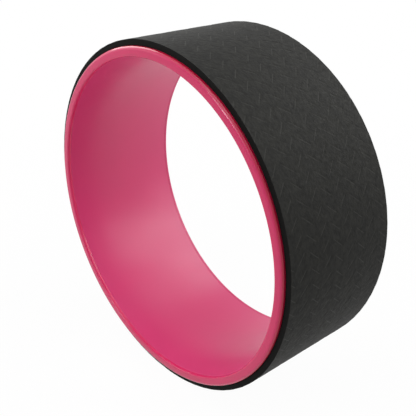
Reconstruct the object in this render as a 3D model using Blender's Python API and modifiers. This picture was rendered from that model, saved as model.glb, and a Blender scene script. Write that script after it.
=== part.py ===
"""Yoga wheel: a ribbed plastic hoop closed by two end rings, with a foam mat bonded round its outside.

Metres, +Z up. The wheel stands on its tread with its axle line along Y and the face that the photograph
shows towards -Y. The origin is on the floor under its middle.
"""

import math

import bmesh
import bpy
from mathutils import Matrix

# Overall sizes
OUTER_DIAMETER = 0.330
HOOP_WIDTH = 0.132

# The mat and its bonding film, and the bare lips that they leave on the hoop
MAT_THICKNESS = 0.0048
FRONT_LIP = 0.0042
BACK_LIP = 0.0084
FILM_THICKNESS = 0.0003
FILM_MARGIN = 0.0010
BOND_CLEARANCE = 0.0003
SEAM_GAP = 0.0004
SEAM_ANGLE = math.radians(225)
FLOOR_FLAT_DEPTH = 0.0003

# The hoop's two walls, the channel between them, its web and its ribs
DRUM_WALL = 0.0024
CHANNEL_DEPTH = 0.0035
BORE_WALL = 0.0028
WEB_THICKNESS = 0.0025
RIB_THICKNESS = 0.0020
RIB_COUNT = 36
RIB_BITE = 0.0006

# The end rings
RING_THICKNESS = 0.0036
RING_STEP = 0.0002
TONGUE_DEPTH = 0.0060
FACE_OUTER_ROUND = 0.0030
FACE_INNER_ROUND = 0.0016
MOST_ROUND_SHARE = 0.9
JOINT_CLEARANCE = 0.0003

# How finely round shapes are drawn
SEGMENTS = 96
ROUND_STEPS = 3

# Radii from the tread inwards
MAT_OUTER_RADIUS = OUTER_DIAMETER / 2
MAT_INNER_RADIUS = MAT_OUTER_RADIUS - MAT_THICKNESS
FILM_OUTER_RADIUS = MAT_INNER_RADIUS - BOND_CLEARANCE
FILM_INNER_RADIUS = FILM_OUTER_RADIUS - FILM_THICKNESS
DRUM_RADIUS = FILM_INNER_RADIUS - BOND_CLEARANCE
RING_OUTER_RADIUS = DRUM_RADIUS + RING_STEP
CHANNEL_OUTER_RADIUS = DRUM_RADIUS - DRUM_WALL
CHANNEL_INNER_RADIUS = CHANNEL_OUTER_RADIUS - CHANNEL_DEPTH
BORE_RADIUS = CHANNEL_INNER_RADIUS - BORE_WALL

# Stations along the axle line, from the middle plane out
HALF_WIDTH = HOOP_WIDTH / 2
RING_BACK = HALF_WIDTH - RING_THICKNESS
BODY_HALF_WIDTH = RING_BACK - JOINT_CLEARANCE
TONGUE_END = RING_BACK - TONGUE_DEPTH
RIB_HALF_WIDTH = TONGUE_END - JOINT_CLEARANCE
MAT_FRONT = -HALF_WIDTH + FRONT_LIP
MAT_BACK = HALF_WIDTH - BACK_LIP
MAT_MIDDLE = (MAT_FRONT + MAT_BACK) / 2

AXLE_HEIGHT = MAT_OUTER_RADIUS - FLOOR_FLAT_DEPTH

# Turns of a turned shape's local +Z axis onto the wheel's axle line
TO_BACK = (-math.pi / 2, 0, 0)
TO_FRONT = (math.pi / 2, 0, 0)


def clear_scene():
    """Remove what the file holds, and make a collection for the wheel and one for its cutters."""
    for obj in list(bpy.data.objects):
        bpy.data.objects.remove(obj, do_unlink=True)
    collections = []
    for name in ("yoga_wheel", "cutters"):
        collection = bpy.data.collections.new(name)
        bpy.context.scene.collection.children.link(collection)
        collections.append(collection)
    return collections


def make_material(name, colour, roughness, metallic=0.0):
    material = bpy.data.materials.new(name)
    material.use_nodes = True
    shader = material.node_tree.nodes["Principled BSDF"]
    shader.inputs["Base Color"].default_value = (*colour, 1.0)
    shader.inputs["Roughness"].default_value = roughness
    shader.inputs["Metallic"].default_value = metallic
    material.diffuse_color = (*colour, 1.0)
    return material


def profile_mesh(name, points, material):
    """A closed outline of (radius, place along the axle line), drawn in the local XZ plane."""
    mesh = bpy.data.meshes.new(name)
    edges = [(i, (i + 1) % len(points)) for i in range(len(points))]
    mesh.from_pydata([(radius, 0.0, along) for radius, along in points], edges, [])
    mesh.materials.append(material)
    return mesh


def turned(name, mesh, collection, rotation=TO_BACK):
    """The outline turned once round the wheel's axle line."""
    obj = bpy.data.objects.new(name, mesh)
    collection.objects.link(obj)
    obj.rotation_euler = rotation
    obj.location = (0, 0, AXLE_HEIGHT)
    screw = obj.modifiers.new("turn", "SCREW")
    screw.axis = "Z"
    screw.angle = math.tau
    screw.steps = SEGMENTS
    screw.render_steps = SEGMENTS
    screw.use_merge_vertices = True
    screw.merge_threshold = 0.00001
    screw.use_smooth_shade = True
    return obj


def band(inner_radius, outer_radius, front, back):
    """The outline of a plain band, down its outer side and up its inner side."""
    return [(outer_radius, back), (outer_radius, front), (inner_radius, front), (inner_radius, back)]


def arc(centre, radius, start, end):
    """Points on an arc in the outline's plane, with angles from the radius towards the axle line."""
    angles = [start + (end - start) * i / ROUND_STEPS for i in range(ROUND_STEPS + 1)]
    return [(centre[0] + radius * math.cos(a), centre[1] + radius * math.sin(a)) for a in angles]


def cutter(name, mesh, collection):
    obj = bpy.data.objects.new(name, mesh)
    collection.objects.link(obj)
    obj.hide_render = True
    obj.display_type = "WIRE"
    return obj


def boolean(obj, other, operation):
    modifier = obj.modifiers.new(operation.lower() + "_" + other.name, "BOOLEAN")
    modifier.operation = operation
    modifier.solver = "EXACT"
    modifier.object = other


def add_block(shape, size, centre, turn):
    """One box in a bmesh, shifted to its centre and then turned about the local origin."""
    verts = bmesh.ops.create_cube(shape, size=1.0)["verts"]
    bmesh.ops.scale(shape, vec=size, verts=verts)
    bmesh.ops.translate(shape, vec=centre, verts=verts)
    bmesh.ops.rotate(shape, cent=(0, 0, 0), matrix=turn, verts=verts)


def box_mesh(name, size):
    mesh = bpy.data.meshes.new(name)
    shape = bmesh.new()
    add_block(shape, size, (0, 0, 0), Matrix.Identity(3))
    shape.to_mesh(mesh)
    shape.free()
    return mesh


def rib_star(cutters):
    """All the ribs as one helper. Each crosses the channel and bites a little into both walls."""
    middle = (CHANNEL_INNER_RADIUS + CHANNEL_OUTER_RADIUS) / 2
    size = (CHANNEL_DEPTH + 2 * RIB_BITE, RIB_THICKNESS, 2 * RIB_HALF_WIDTH)
    mesh = bpy.data.meshes.new("rib_star")
    shape = bmesh.new()
    for i in range(RIB_COUNT):
        add_block(shape, size, (middle, 0, 0), Matrix.Rotation(math.tau * i / RIB_COUNT, 3, "Z"))
    shape.to_mesh(mesh)
    shape.free()
    star = cutter("rib_star", mesh, cutters)
    star.rotation_euler = TO_BACK
    star.location = (0, 0, AXLE_HEIGHT)
    return star


def hoop_body(parts, cutters):
    """The main moulding: drum wall and bore wall, the web between them in the middle plane, and the ribs."""
    web = WEB_THICKNESS / 2
    outline = [
        (DRUM_RADIUS, BODY_HALF_WIDTH),
        (DRUM_RADIUS, -BODY_HALF_WIDTH),
        (CHANNEL_OUTER_RADIUS, -BODY_HALF_WIDTH),
        (CHANNEL_OUTER_RADIUS, -web),
        (CHANNEL_INNER_RADIUS, -web),
        (CHANNEL_INNER_RADIUS, -BODY_HALF_WIDTH),
        (BORE_RADIUS, -BODY_HALF_WIDTH),
        (BORE_RADIUS, BODY_HALF_WIDTH),
        (CHANNEL_INNER_RADIUS, BODY_HALF_WIDTH),
        (CHANNEL_INNER_RADIUS, web),
        (CHANNEL_OUTER_RADIUS, web),
        (CHANNEL_OUTER_RADIUS, BODY_HALF_WIDTH),
    ]
    material = make_material("hoop_plastic", (0.60, 0.045, 0.150), 0.32)
    body = turned("hoop_body", profile_mesh("hoop_body", outline, material), parts)
    boolean(body, rib_star(cutters), "UNION")


def end_rings(parts):
    """A flat face with rounded edges, and a tongue that enters the hoop's channel.

    Both rings share one mesh, whose local Z runs from the middle plane out to the face.
    """
    most_round = MOST_ROUND_SHARE * RING_THICKNESS
    outer_round = min(FACE_OUTER_ROUND, most_round)
    inner_round = min(FACE_INNER_ROUND, most_round)
    outer_centre = (RING_OUTER_RADIUS - outer_round, HALF_WIDTH - outer_round)
    inner_centre = (BORE_RADIUS + inner_round, HALF_WIDTH - inner_round)
    outline = arc(outer_centre, outer_round, math.pi / 2, 0)
    outline += [
        (RING_OUTER_RADIUS, RING_BACK),
        (CHANNEL_OUTER_RADIUS - JOINT_CLEARANCE, RING_BACK),
        (CHANNEL_OUTER_RADIUS - JOINT_CLEARANCE, TONGUE_END),
        (CHANNEL_INNER_RADIUS + JOINT_CLEARANCE, TONGUE_END),
        (CHANNEL_INNER_RADIUS + JOINT_CLEARANCE, RING_BACK),
        (BORE_RADIUS, RING_BACK),
    ]
    outline += arc(inner_centre, inner_round, math.pi, math.pi / 2)
    material = make_material("end_ring_plastic", (0.62, 0.050, 0.160), 0.28)
    mesh = profile_mesh("end_ring", outline, material)
    turned("front_end_ring", mesh, parts, TO_FRONT)
    turned("back_end_ring", mesh, parts, TO_BACK)


def seam_cutter(cutters):
    """A thin slab through the mat and the film, where the two ends of the strip meet."""
    depth = 2 * (MAT_THICKNESS + BOND_CLEARANCE + FILM_THICKNESS)
    reach = (MAT_INNER_RADIUS + MAT_OUTER_RADIUS) / 2
    slab = cutter("seam_cutter", box_mesh("seam_cutter", (depth, HOOP_WIDTH, SEAM_GAP)), cutters)
    slab.rotation_euler = (0, -SEAM_ANGLE, 0)
    slab.location = (
        reach * math.cos(SEAM_ANGLE),
        MAT_MIDDLE,
        AXLE_HEIGHT + reach * math.sin(SEAM_ANGLE),
    )
    return slab


def floor_cutter(cutters):
    """What the foam gives way by where the wheel rests on the floor."""
    size = (OUTER_DIAMETER, HOOP_WIDTH, MAT_THICKNESS)
    slab = cutter("floor_cutter", box_mesh("floor_cutter", size), cutters)
    slab.location = (0, MAT_MIDDLE, -MAT_THICKNESS / 2)
    return slab


def bonding_film(parts, seam):
    outline = band(
        FILM_INNER_RADIUS, FILM_OUTER_RADIUS, MAT_FRONT + FILM_MARGIN, MAT_BACK - FILM_MARGIN
    )
    material = make_material("bonding_film", (0.55, 0.50, 0.36), 0.45)
    film = turned("bonding_film", profile_mesh("bonding_film", outline, material), parts)
    boolean(film, seam, "DIFFERENCE")


def tread_mat(parts, seam, floor):
    outline = band(MAT_INNER_RADIUS, MAT_OUTER_RADIUS, MAT_FRONT, MAT_BACK)
    material = make_material("tread_foam", (0.030, 0.030, 0.029), 0.62)
    mat = turned("tread_mat", profile_mesh("tread_mat", outline, material), parts)
    boolean(mat, seam, "DIFFERENCE")
    boolean(mat, floor, "DIFFERENCE")


def main():
    parts, cutters = clear_scene()
    hoop_body(parts, cutters)
    end_rings(parts)
    seam = seam_cutter(cutters)
    bonding_film(parts, seam)
    tread_mat(parts, seam, floor_cutter(cutters))


main()
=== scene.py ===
"""The looks of the yoga wheel: turned plastic, an embossed foam tread and soft studio light."""

import math

import bmesh
import bpy
from mathutils import Matrix, Vector

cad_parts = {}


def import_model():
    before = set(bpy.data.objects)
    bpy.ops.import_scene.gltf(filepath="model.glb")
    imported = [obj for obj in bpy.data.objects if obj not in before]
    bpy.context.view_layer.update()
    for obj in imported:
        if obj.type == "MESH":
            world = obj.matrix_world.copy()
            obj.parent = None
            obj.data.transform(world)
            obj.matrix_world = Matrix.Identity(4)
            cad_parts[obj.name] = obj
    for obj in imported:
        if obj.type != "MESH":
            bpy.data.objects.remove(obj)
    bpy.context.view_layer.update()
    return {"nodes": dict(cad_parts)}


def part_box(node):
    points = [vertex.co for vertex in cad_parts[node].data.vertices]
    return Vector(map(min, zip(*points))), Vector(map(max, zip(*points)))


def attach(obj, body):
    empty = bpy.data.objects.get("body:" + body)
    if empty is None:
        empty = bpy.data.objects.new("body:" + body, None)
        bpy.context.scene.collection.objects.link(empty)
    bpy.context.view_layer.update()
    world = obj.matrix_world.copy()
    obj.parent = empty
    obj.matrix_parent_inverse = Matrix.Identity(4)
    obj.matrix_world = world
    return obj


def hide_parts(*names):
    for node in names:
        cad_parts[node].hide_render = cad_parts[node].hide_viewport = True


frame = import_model()

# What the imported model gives
MAT_LOW, MAT_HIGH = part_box("tread_mat")
RING_LOW, RING_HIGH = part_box("front_end_ring")
MAT_RADIUS = MAT_HIGH.x
AXLE_HEIGHT = MAT_HIGH.z - MAT_RADIUS
RING_RADIUS = RING_HIGH.x
FACE = -RING_LOW.y
DRUM_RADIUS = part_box("hoop_body")[1].x

# The rest of the hoop's sizes, as the solids have them
BORE_RADIUS = 0.1506
RING_THICKNESS = 0.0036
MAT_THICKNESS = 0.0048
FACE_OUTER_ROUND = 0.0030
FACE_INNER_ROUND = 0.0016
BORE_WALL = 0.0028
DRUM_WALL = 0.0024
WEB_THICKNESS = 0.0025
JOINT_LINE = 0.00006
JOINT_BEVEL = 0.00012
PLASTIC_CREASE = math.radians(40)

# The foam strip: where its ends meet, and how its edges are pressed down on to the lips
SEAM_ANGLE = math.radians(225)
SEAM_GAP = 0.0004
EDGE_PRESS = 0.0009
EDGE_CLEARANCE = 0.00005
FOAM_CREASE = math.radians(30)

# The herringbone blocks embossed in the foam, and the fine ribs on each block
BLOCK_LENGTH = 0.0200
BLOCK_WIDTH = 0.0100
BLOCK_TURN = math.radians(47)
BLOCK_SKEW = -0.06
PATTERN_SHIFT = Vector((-0.0072, 0.0045))
BLOCK_DEPTH = 0.00018
WALL_WIDTH = 0.0012
EDGE_MARGIN = 0.0002
END_SLOPE = 0.0045
LENGTH_PARTS = 8
BORDER_STEPS = 4
RIB_COUNT = 4
RIB_HEIGHT = 0.00002
RIB_FLANK = 0.3
SAME_POINT = 0.000001
SAME_LINE = 0.00001

# How finely round shapes are drawn
SEGMENTS = 360
ROUND_STEPS = 12
BEVEL_STEPS = 3

# The camera, as fitted to the outlines in the photograph
CAMERA_TURN = math.radians(48.907)
CAMERA_TILT = math.radians(25.886)
CAMERA_DEPTH = 0.6583
AIM_RIGHT = 0.00060
AIM_UP = 0.00453
LENS = 58.66

# The pink plastic of the hoop and the rings, and painted shade: a crimson that deepens towards a
# ring's outer edge, standing in for the shade and dim reflection where the edge turns into the
# corner by the foam
HOOP_DEEP = (0.690, 0.0545, 0.193)
HOOP_PALE = (0.722, 0.0575, 0.202)
HOOP_SPECULAR = 0.54
HOOP_ROUGHNESS = 0.32
# Painted shade: the front ring's pink is deeper and purer than the hoop's, standing in for the
# dimmer reflection on its face; the back ring takes the hoop's pink
RING_SHADED_DEEP = (0.715, 0.0230, 0.132)
RING_SHADED_PALE = (0.745, 0.0244, 0.138)
RING_SPECULAR = 0.37
RING_ROUGHNESS = 0.14
RING_RELIEF = 0.25
# Painted shade at a ring's outer edge, and how far in from the edge it starts and ends
EDGE_PAINTED_SHADE = (0.600, 0.0060, 0.0520)
EDGE_SHADE_START = 0.0015
EDGE_SHADE_END = 0.0002
WEAR = 0.03
WAVE_DEPTH = 0.00003
GRAIN_DEPTH = 0.000012

# The foam's skin, with painted light in the grooves: a paler colour that reaches up to a share of
# the grooves' depth from their bottom, lifting their shade and standing in for their lit walls
FOAM_GROOVE_PAINTED_LIGHT = (0.0350, 0.0350, 0.0325)
FOAM_DEEP = (0.0003, 0.0003, 0.0003)
FOAM_PALE = (0.0068, 0.0067, 0.0058)
DYE_RANGE = (0.40, 0.60)
FOAM_SPECULAR = 0.20
FOAM_SPECULAR_TINT = (1.0, 1.0, 0.93, 1.0)
FOAM_ROUGHNESS = 0.70
FOAM_UNEVEN = 0.06
GROOVE_LIGHT_REACH = 0.2
PORE_DEPTH = 0.00006
SKIN_DEPTH = 0.00030

# The foam's cut sides
CUT_DARK = (0.0052, 0.0055, 0.0052)
CUT_PALE = (0.0072, 0.0076, 0.0072)
CUT_SPECULAR = 0.10
CUT_ROUGHNESS = 0.85
CUT_DEPTH = 0.0001

# The bonding film
FILM_DEEP = (0.50, 0.45, 0.31)
FILM_PALE = (0.58, 0.53, 0.40)
FILM_SPECULAR = 0.5
FILM_ROUGHNESS = (0.45, 0.60)
FILM_DEPTH = 0.00004

# Where Blender's colour mixing node takes its two colours and gives the result
MIX_FIRST = 6
MIX_SECOND = 7
MIX_RESULT = 2

# The studio: a floor that the camera sees as white, the more so away from the wheel
FLOOR_REACH = 6.0
FLOOR_HEIGHT = -0.0001
FLOOR_GREY = (0.8, 0.8, 0.8, 1.0)
FLOOR_WHITE_SHARE = (0.97, 1.0)
FLOOR_WHITE_REACH = (0.25, 0.9)
WHITE = (1.0, 1.0, 1.0, 1.0)

# The softboxes: turn from +X towards +Y and rise in degrees, size in metres, brightness
LAMP_DISTANCE = 1.6
SOFTBOXES = (
    ("left", 180, 32, 0.857, 4.36),
    ("left_high", 200, 60, 0.857, 0.50),
    ("front_left_low", 210, 14, 0.857, 0.82),
    ("front_left_high", 240, 50, 0.857, 0.71),
    ("front_small", 259, 24, 0.350, 9.00),
    ("front", 270, 32, 0.857, 2.20),
    ("right_high", 0, 60, 0.857, 0.70),
    ("right", 30, 32, 0.857, 1.78),
    ("back_right_low", 60, 14, 0.857, 1.44),
    ("back_right", 60, 32, 0.857, 1.93),
    ("back_low", 90, 14, 0.857, 0.69),
    ("back", 90, 32, 0.857, 1.89),
    ("back_high", 80, 52, 0.857, 0.95),
    ("top", 288, 76, 0.857, 2.25),
)


def arc(centre, radius, start, end, steps):
    """Points on an arc of an outline, with angles in degrees from the radius towards +Y."""
    points = []
    for i in range(steps + 1):
        angle = math.radians(start + (end - start) * i / steps)
        points.append((centre[0] + radius * math.cos(angle), centre[1] + radius * math.sin(angle)))
    return points


def corner(radius, along, size, start, end):
    """A small rounded corner of an outline, given by where its sharp point would be."""
    middle = math.radians((start + end) / 2)
    reach_radius = math.copysign(size, math.cos(middle))
    reach_along = math.copysign(size, math.sin(middle))
    return arc((radius - reach_radius, along - reach_along), size, start, end, BEVEL_STEPS)


def turned(name, outline):
    """A closed outline of (radius, place along the axle line) turned once round the axle line."""
    count = len(outline)
    points = []
    for i in range(SEGMENTS):
        angle = math.tau * i / SEGMENTS
        for radius, along in outline:
            points.append((radius * math.cos(angle), along, AXLE_HEIGHT + radius * math.sin(angle)))
    faces = []
    for i in range(SEGMENTS):
        here = i * count
        there = (i + 1) % SEGMENTS * count
        for j in range(count):
            k = (j + 1) % count
            faces.append((here + j, there + j, there + k, here + k))
    mesh = bpy.data.meshes.new(name)
    mesh.from_pydata(points, [], faces)
    mesh.update()
    mesh.shade_smooth()
    mesh.set_sharp_from_angle(angle=PLASTIC_CREASE)
    obj = bpy.data.objects.new(name, mesh)
    bpy.context.scene.collection.objects.link(obj)
    return obj


def hoop():
    """The main moulding's bore wall and drum wall, with the web between them."""
    end = FACE - RING_THICKNESS - JOINT_LINE
    outer_channel = DRUM_RADIUS - DRUM_WALL
    inner_channel = BORE_RADIUS + BORE_WALL
    web = WEB_THICKNESS / 2
    outline = corner(DRUM_RADIUS, end, JOINT_BEVEL, 90, 0)
    outline += corner(DRUM_RADIUS, -end, JOINT_BEVEL, 0, -90)
    outline += [(outer_channel, -end), (outer_channel, -web)]
    outline += [(inner_channel, -web), (inner_channel, -end)]
    outline += corner(BORE_RADIUS, -end, JOINT_BEVEL, 270, 180)
    outline += corner(BORE_RADIUS, end, JOINT_BEVEL, 180, 90)
    outline += [(inner_channel, end), (inner_channel, web)]
    outline += [(outer_channel, web), (outer_channel, end)]
    return turned("hoop", outline)


def rim(name, side):
    """One end ring: the flat face, its rounded edges and the hairline joint behind it."""
    back = FACE - RING_THICKNESS
    outer_centre = (RING_RADIUS - FACE_OUTER_ROUND, FACE - FACE_OUTER_ROUND)
    inner_centre = (BORE_RADIUS + FACE_INNER_ROUND, FACE - FACE_INNER_ROUND)
    outline = arc(outer_centre, FACE_OUTER_ROUND, 90, 0, ROUND_STEPS)
    outline += corner(RING_RADIUS, back, JOINT_BEVEL, 0, -90)
    outline += corner(BORE_RADIUS, back, JOINT_BEVEL, 270, 180)
    outline += arc(inner_centre, FACE_INNER_ROUND, 180, 90, ROUND_STEPS)
    if side < 0:
        outline = [(radius, -along) for radius, along in reversed(outline)]
    return turned(name, outline)


def zip_lines(mesh, first, second):
    """Triangles between two lines of points that run side by side."""
    i = 0
    j = 0
    while i < len(first) - 1 or j < len(second) - 1:
        if (i + 1) * (len(second) - 1) <= (j + 1) * (len(first) - 1):
            mesh.faces.new((first[i], first[i + 1], second[j]))
            i += 1
        else:
            mesh.faces.new((first[i], second[j + 1], second[j]))
            j += 1


def block(mesh, corner_point, along, across):
    """One embossed block, flat: it sinks towards a long side, where a short wall leads back up."""
    def point(u, v, height):
        flat = corner_point + u * along + v * across
        return mesh.verts.new((flat.x, flat.y, height))

    pitch = (BLOCK_WIDTH - WALL_WIDTH - EDGE_MARGIN) / RIB_COUNT
    lines = [(WALL_WIDTH, RIB_HEIGHT)]
    for i in range(RIB_COUNT):
        start = WALL_WIDTH + i * pitch
        lines += [
            (start + RIB_FLANK * pitch, 0.0),
            (start + (1 - RIB_FLANK) * pitch, 0.0),
            (start + pitch, RIB_HEIGHT),
        ]
    grid = []
    for i in range(1, LENGTH_PARTS):
        u = BLOCK_LENGTH * i / LENGTH_PARTS
        inside = min(u, BLOCK_LENGTH - u)
        share = math.sin(math.pi / 2 * min(inside / END_SLOPE, 1))
        row = []
        for v, rib in lines:
            depth = BLOCK_DEPTH * (BLOCK_WIDTH - v) / BLOCK_WIDTH + rib
            row.append(point(u, v, -depth * share))
        grid.append(row)
    for here, there in zip(grid, grid[1:]):
        for j in range(len(lines) - 1):
            mesh.faces.new((here[j], there[j], there[j + 1], here[j + 1]))

    def border(start, end, steps):
        points = [Vector(start).lerp(Vector(end), i / steps) for i in range(steps + 1)]
        return [point(p.x, p.y, 0.0) for p in points]

    near_side = [row[0] for row in grid]
    far_side = [row[-1] for row in grid]
    corners = ((0, 0), (BLOCK_LENGTH, 0), (BLOCK_LENGTH, BLOCK_WIDTH), (0, BLOCK_WIDTH))
    zip_lines(mesh, border(corners[0], corners[1], 2 * BORDER_STEPS), near_side)
    zip_lines(mesh, border(corners[1], corners[2], BORDER_STEPS), grid[-1])
    zip_lines(mesh, border(corners[2], corners[3], 2 * BORDER_STEPS), far_side[::-1])
    zip_lines(mesh, border(corners[3], corners[0], BORDER_STEPS), grid[0][::-1])


def herringbone(mesh, low, high, length):
    """Blocks laid out flat over the whole strip and a little more, in two directions."""
    lay = Matrix(((1, BLOCK_SKEW), (0, 1))) @ Matrix.Rotation(BLOCK_TURN, 2)
    lengthwise = lay @ Vector((1, 0))
    crosswise = lay @ Vector((0, 1))
    beside = (BLOCK_LENGTH + BLOCK_WIDTH) * lengthwise + (BLOCK_WIDTH - BLOCK_LENGTH) * crosswise
    middle = Vector(((low + high) / 2, length / 2))
    reach = Vector(((high - low) / 2 + BLOCK_LENGTH, length / 2 + BLOCK_LENGTH))
    count = int(length / BLOCK_WIDTH)
    for i in range(-count, count):
        for j in range(-count // 2, count // 2):
            across = i * BLOCK_WIDTH + j * BLOCK_LENGTH
            up = i * BLOCK_WIDTH - j * BLOCK_LENGTH
            place = middle + PATTERN_SHIFT + across * lengthwise + up * crosswise
            pair = ((place, lengthwise, crosswise), (place + beside, crosswise, -lengthwise))
            for start, along, sideways in pair:
                centre = start + (BLOCK_LENGTH * along + BLOCK_WIDTH * sideways) / 2
                if abs(centre.x - middle.x) < reach.x and abs(centre.y - middle.y) < reach.y:
                    block(mesh, start, along, sideways)
    bmesh.ops.remove_doubles(mesh, verts=mesh.verts, dist=SAME_POINT)


def cut_strip(mesh, low, high, length):
    """The flat pattern cut to the strip's four sides."""
    for place, outward in (
        ((low, 0, 0), (-1, 0, 0)),
        ((high, 0, 0), (1, 0, 0)),
        ((0, 0, 0), (0, -1, 0)),
        ((0, length, 0), (0, 1, 0)),
    ):
        parts = mesh.verts[:] + mesh.edges[:] + mesh.faces[:]
        bmesh.ops.bisect_plane(
            mesh, geom=parts, dist=SAME_POINT, plane_co=place, plane_no=outward, clear_outer=True
        )


def close_strip(mesh, low, high, length, under):
    """The strip's cut sides, pressed-down edges and underside, which make it a closed body."""
    open_edges = [edge for edge in mesh.edges if edge.is_boundary]
    rims = {}
    for place, axis in ((low, 0), (high, 0), (0.0, 1), (length, 1)):
        found = set()
        for edge in open_edges:
            if all(abs(v.co[axis] - place) < SAME_LINE for v in edge.verts):
                found.update(edge.verts)
        rims[place, axis] = sorted(found, key=lambda v: v.co[1 - axis])
    pressed = DRUM_RADIUS + EDGE_CLEARANCE - MAT_RADIUS
    inner_lines = []
    for edge_place, inward in ((low, 1), (high, -1)):
        lines = [rims[edge_place, 0]]
        for offset, height in ((0, pressed), (EDGE_PRESS, pressed), (EDGE_PRESS, under)):
            across = edge_place + inward * offset
            lines.append([mesh.verts.new((across, v.co.y, height)) for v in lines[0]])
        for upper, lower in zip(lines, lines[1:]):
            for i in range(len(upper) - 1):
                side = mesh.faces.new((upper[i], upper[i + 1], lower[i + 1], lower[i]))
                side.material_index = 1
        inner_lines.append(lines)
    front, back = inner_lines
    zip_lines(mesh, front[-1], back[-1])
    for end, place in ((0, 0.0), (-1, length)):
        ring = list(rims[place, 1])
        ring += [line[end] for line in back[1:]]
        ring += [line[end] for line in reversed(front[1:])]
        mesh.faces.new(ring).material_index = 1
    bmesh.ops.recalc_face_normals(mesh, faces=mesh.faces)


def mat():
    """The foam strip: embossed and cut while it's flat, then wrapped round the hoop."""
    length = MAT_RADIUS * math.tau - SEAM_GAP
    low = MAT_LOW.y
    high = MAT_HIGH.y
    strip = bmesh.new()
    herringbone(strip, low, high, length)
    cut_strip(strip, low, high, length)
    close_strip(strip, low, high, length, -MAT_THICKNESS)
    for vertex in strip.verts:
        across, along, height = vertex.co
        angle = SEAM_ANGLE + (SEAM_GAP / 2 + along) / MAT_RADIUS
        radius = MAT_RADIUS + height
        up = max(AXLE_HEIGHT + radius * math.sin(angle), 0.0)
        vertex.co = (radius * math.cos(angle), across, up)
    mesh = bpy.data.meshes.new("foam_mat")
    strip.to_mesh(mesh)
    strip.free()
    mesh.shade_smooth()
    mesh.set_sharp_from_angle(angle=FOAM_CREASE)
    obj = bpy.data.objects.new("foam_mat", mesh)
    bpy.context.scene.collection.objects.link(obj)
    return obj


def node(tree, kind, inputs, **settings):
    """A new node with its settings, whose inputs are values or other nodes' outputs."""
    made = tree.nodes.new(kind)
    for key, value in settings.items():
        setattr(made, key, value)
    for key, value in inputs.items():
        if isinstance(value, bpy.types.NodeSocket):
            tree.links.new(value, made.inputs[key])
        else:
            made.inputs[key].default_value = value
    return made


def noise(tree, place, size, detail):
    """Soft random patches about the given size in metres, from 0 to 1."""
    inputs = {"Vector": place, "Scale": 1 / size, "Detail": detail}
    return node(tree, "ShaderNodeTexNoise", inputs).outputs["Fac"]


def cells(tree, place, size):
    """How far a place is from the middle of its small random cell, of the given size in metres."""
    inputs = {"Vector": place, "Scale": 1 / size}
    return node(tree, "ShaderNodeTexVoronoi", inputs).outputs["Distance"]


def between(tree, value, low, high, start=0.25, end=0.75):
    """A value stretched from the range start to end, so that it runs from low to high."""
    inputs = {"Value": value, "From Min": start, "From Max": end, "To Min": low, "To Max": high}
    return node(tree, "ShaderNodeMapRange", inputs).outputs["Result"]


def blend(tree, factor, first, second):
    """A colour that goes from the first to the second as the factor goes from 0 to 1."""
    mix = node(tree, "ShaderNodeMix", {"Factor": factor}, data_type="RGBA")
    for socket, colour in ((MIX_FIRST, first), (MIX_SECOND, second)):
        if isinstance(colour, bpy.types.NodeSocket):
            tree.links.new(colour, mix.inputs[socket])
        else:
            mix.inputs[socket].default_value = (*colour, 1.0)
    return mix.outputs[MIX_RESULT]


def bump(tree, height, distance, below=None):
    """Small relief of the given depth in metres, on top of another relief if there is one."""
    inputs = {"Height": height, "Distance": distance}
    if below is not None:
        inputs["Normal"] = below
    return node(tree, "ShaderNodeBump", inputs).outputs["Normal"]


def finish(name, specular):
    """A new material with its main shader, and the place on the object for its patterns."""
    material = bpy.data.materials.new(name)
    material.use_nodes = True
    tree = material.node_tree
    shader = tree.nodes["Principled BSDF"]
    shader.inputs["Specular IOR Level"].default_value = specular
    place = node(tree, "ShaderNodeTexCoord", {}).outputs["Object"]
    return material, tree, shader, place


def axle_distance(tree, place):
    """How far a place is from the wheel's axle line."""
    split = node(tree, "ShaderNodeSeparateXYZ", {"Vector": place})
    height = {0: split.outputs["Z"], 1: AXLE_HEIGHT}
    up = node(tree, "ShaderNodeMath", height, operation="SUBTRACT").outputs[0]
    across = node(tree, "ShaderNodeCombineXYZ", {"X": split.outputs["X"], "Y": up}).outputs[0]
    return node(tree, "ShaderNodeVectorMath", {0: across}, operation="LENGTH").outputs["Value"]


def plastic_material(name, deep, pale, specular, roughness, relief=1.0):
    """Satin-gloss pink plastic: faint patches, painted shade in crimson at the outer edges, fine
    grain, uneven gloss.
    """
    material, tree, shader, place = finish(name, specular)
    flow = between(tree, noise(tree, place, size=0.06, detail=3.0), 0.0, 1.0)
    radius = axle_distance(tree, place)
    # Painted shade: the colour turns crimson towards the ring's outer edge, by the foam
    edge = between(tree, radius, 0.0, 1.0, RING_RADIUS - EDGE_SHADE_START, RING_RADIUS - EDGE_SHADE_END)
    pink = blend(tree, edge, blend(tree, flow, deep, pale), EDGE_PAINTED_SHADE)
    tree.links.new(pink, shader.inputs["Base Color"])
    patches = noise(tree, place, size=0.012, detail=6.0)
    wear = between(tree, patches, roughness - WEAR, roughness + WEAR)
    tree.links.new(wear, shader.inputs["Roughness"])
    waves = bump(tree, noise(tree, place, size=0.009, detail=1.0), relief * WAVE_DEPTH)
    grain = bump(tree, noise(tree, place, size=0.0006, detail=2.0), relief * GRAIN_DEPTH, waves)
    tree.links.new(grain, shader.inputs["Normal"])
    return material


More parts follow.
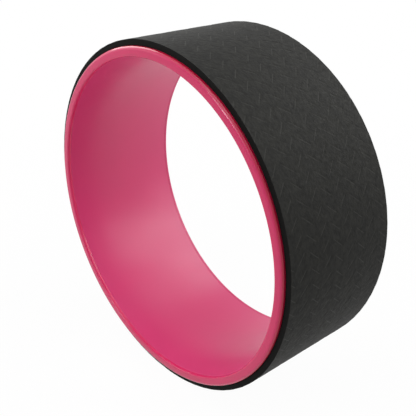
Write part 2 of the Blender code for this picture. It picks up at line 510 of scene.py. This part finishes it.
def foam_material():
    """Matt black foam: pores, fine wrinkles, uneven dye, and painted light that makes the grooves'
    bottoms paler.
    """
    material, tree, shader, place = finish("black_foam", FOAM_SPECULAR)
    radius = axle_distance(tree, place)
    # Painted light: a paler colour at the bottom of the grooves lifts their shade and stands in for
    # their lit walls
    groove_bottom = MAT_RADIUS - BLOCK_DEPTH
    groove_light_top = groove_bottom + GROOVE_LIGHT_REACH * BLOCK_DEPTH
    height = between(tree, radius, 0.0, 1.0, groove_bottom, groove_light_top)
    shader.inputs["Specular Tint"].default_value = FOAM_SPECULAR_TINT
    dye = between(tree, noise(tree, place, size=0.005, detail=7.0), 0.0, 1.0, *DYE_RANGE)
    uneven = blend(tree, dye, FOAM_DEEP, FOAM_PALE)
    tree.links.new(blend(tree, height, FOAM_GROOVE_PAINTED_LIGHT, uneven), shader.inputs["Base Color"])
    patches = noise(tree, place, size=0.003, detail=3.0)
    matt = between(tree, patches, FOAM_ROUGHNESS - FOAM_UNEVEN, FOAM_ROUGHNESS + FOAM_UNEVEN)
    tree.links.new(matt, shader.inputs["Roughness"])
    pores = bump(tree, cells(tree, place, size=0.0007), PORE_DEPTH)
    skin = bump(tree, noise(tree, place, size=0.0024, detail=4.0), SKIN_DEPTH, pores)
    tree.links.new(skin, shader.inputs["Normal"])
    return material


def cut_foam_material():
    """The foam's cut sides: darker than its skin, without sheen, and full of open cells."""
    material, tree, shader, place = finish("cut_foam", CUT_SPECULAR)
    dye = between(tree, noise(tree, place, size=0.004, detail=4.0), 0.0, 1.0)
    tree.links.new(blend(tree, dye, CUT_DARK, CUT_PALE), shader.inputs["Base Color"])
    shader.inputs["Roughness"].default_value = CUT_ROUGHNESS
    open_cells = bump(tree, cells(tree, place, size=0.0005), CUT_DEPTH)
    tree.links.new(open_cells, shader.inputs["Normal"])
    return material


def film_material():
    """The pale bonding film under the foam, a little milky and uneven."""
    material, tree, shader, place = finish("bonding_film", FILM_SPECULAR)
    milky = between(tree, noise(tree, place, size=0.02, detail=4.0), 0.0, 1.0)
    tree.links.new(blend(tree, milky, FILM_DEEP, FILM_PALE), shader.inputs["Base Color"])
    gloss = between(tree, noise(tree, place, size=0.004, detail=3.0), *FILM_ROUGHNESS)
    tree.links.new(gloss, shader.inputs["Roughness"])
    uneven = bump(tree, noise(tree, place, size=0.002, detail=3.0), FILM_DEPTH)
    tree.links.new(uneven, shader.inputs["Normal"])
    return material


def seen_directly(tree):
    """1 for what is seen, also by reflection or through glass, and 0 for light on the object."""
    path = node(tree, "ShaderNodeLightPath", {})
    seen = path.outputs["Is Camera Ray"]
    for kind in ("Is Glossy Ray", "Is Transmission Ray"):
        either = {0: seen, 1: path.outputs[kind]}
        seen = node(tree, "ShaderNodeMath", either, operation="MAXIMUM").outputs[0]
    return seen


def floor():
    """A pale floor that the camera sees as white, with the wheel's faint shadow."""
    mesh = bpy.data.meshes.new("floor")
    far = FLOOR_REACH
    corners = [(-far, -far, 0), (far, -far, 0), (far, far, 0), (-far, far, 0)]
    mesh.from_pydata(corners, [], [(0, 1, 2, 3)])
    obj = bpy.data.objects.new("floor", mesh)
    obj.location.z = FLOOR_HEIGHT
    bpy.context.scene.collection.objects.link(obj)
    material = bpy.data.materials.new("floor")
    material.use_nodes = True
    tree = material.node_tree
    tree.nodes.clear()
    place = node(tree, "ShaderNodeTexCoord", {}).outputs["Object"]
    distance = node(tree, "ShaderNodeVectorMath", {0: place}, operation="LENGTH").outputs["Value"]
    whiteness = between(tree, distance, *FLOOR_WHITE_SHARE, *FLOOR_WHITE_REACH)
    factors = {0: seen_directly(tree), 1: whiteness}
    share = node(tree, "ShaderNodeMath", factors, operation="MULTIPLY").outputs[0]
    lit = node(tree, "ShaderNodeBsdfDiffuse", {"Color": FLOOR_GREY}).outputs[0]
    white = node(tree, "ShaderNodeEmission", {"Color": WHITE, "Strength": 1.0}).outputs[0]
    mix = node(tree, "ShaderNodeMixShader", {0: share, 1: lit, 2: white}).outputs[0]
    node(tree, "ShaderNodeOutputMaterial", {"Surface": mix})
    mesh.materials.append(material)


def world():
    """White behind the wheel and in its reflections, while the lamps alone light it."""
    studio = bpy.data.worlds.new("studio")
    bpy.context.scene.world = studio
    studio.use_nodes = True
    tree = studio.node_tree
    background = tree.nodes["Background"]
    background.inputs["Color"].default_value = WHITE
    tree.links.new(seen_directly(tree), background.inputs["Strength"])


def softbox(name, turn, rise, size, brightness):
    """A square lamp at the given turn and rise, which looks at the wheel's middle."""
    light = bpy.data.lights.new(name, "AREA")
    light.shape = "SQUARE"
    light.size = size
    light.energy = math.pi * size * size * brightness
    obj = bpy.data.objects.new(name, light)
    bpy.context.scene.collection.objects.link(obj)
    around = math.radians(turn)
    above = math.radians(rise)
    level = math.cos(above)
    away = Vector((math.cos(around) * level, math.sin(around) * level, math.sin(above)))
    obj.location = Vector((0, 0, AXLE_HEIGHT)) + LAMP_DISTANCE * away
    obj.rotation_euler = away.to_track_quat("Z", "Y").to_euler()


def camera():
    """The photograph's view: turned from +Y towards -X and tilted down."""
    right = Vector((math.cos(CAMERA_TURN), math.sin(CAMERA_TURN), 0))
    level = Vector((-math.sin(CAMERA_TURN), math.cos(CAMERA_TURN), 0))
    forward = math.cos(CAMERA_TILT) * level - Vector((0, 0, math.sin(CAMERA_TILT)))
    up = right.cross(forward)
    data = bpy.data.cameras.new("camera")
    data.lens = LENS
    obj = bpy.data.objects.new("camera", data)
    bpy.context.scene.collection.objects.link(obj)
    aim = Vector((0, 0, AXLE_HEIGHT)) - AIM_RIGHT * right - AIM_UP * up
    turn = Matrix((right, up, -forward)).transposed().to_4x4()
    obj.matrix_world = Matrix.Translation(aim - CAMERA_DEPTH * forward) @ turn
    bpy.context.scene.camera = obj


def main():
    """Dresses the wheel, lights it and sets up the photograph's view."""
    hoop_plastic = plastic_material(
        "hoop_plastic", HOOP_DEEP, HOOP_PALE, HOOP_SPECULAR, HOOP_ROUGHNESS
    )
    # Painted shade: the front ring's deeper pink stands in for the dimmer reflection on its face
    shaded_ring_plastic = plastic_material(
        "shaded_ring_plastic", RING_SHADED_DEEP, RING_SHADED_PALE, RING_SPECULAR, RING_ROUGHNESS, RING_RELIEF
    )
    for obj, stands_for, slot, materials in (
        (hoop(), "hoop_body", "hoop_plastic", [hoop_plastic]),
        (rim("front_rim", -1), "front_end_ring", "end_ring_plastic", [shaded_ring_plastic]),
        (rim("back_rim", 1), "back_end_ring", "end_ring_plastic", [hoop_plastic]),
        (mat(), "tread_mat", "tread_foam", [foam_material(), cut_foam_material()]),
    ):
        for material in materials:
            obj.data.materials.append(material)
        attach(obj, "root")
        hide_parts(stands_for)
    for place in frame["nodes"]["bonding_film"].material_slots:
        place.material = film_material()
    camera()
    floor()
    world()
    for values in SOFTBOXES:
        softbox(*values)
    bpy.context.scene.view_settings.view_transform = "Standard"


main()
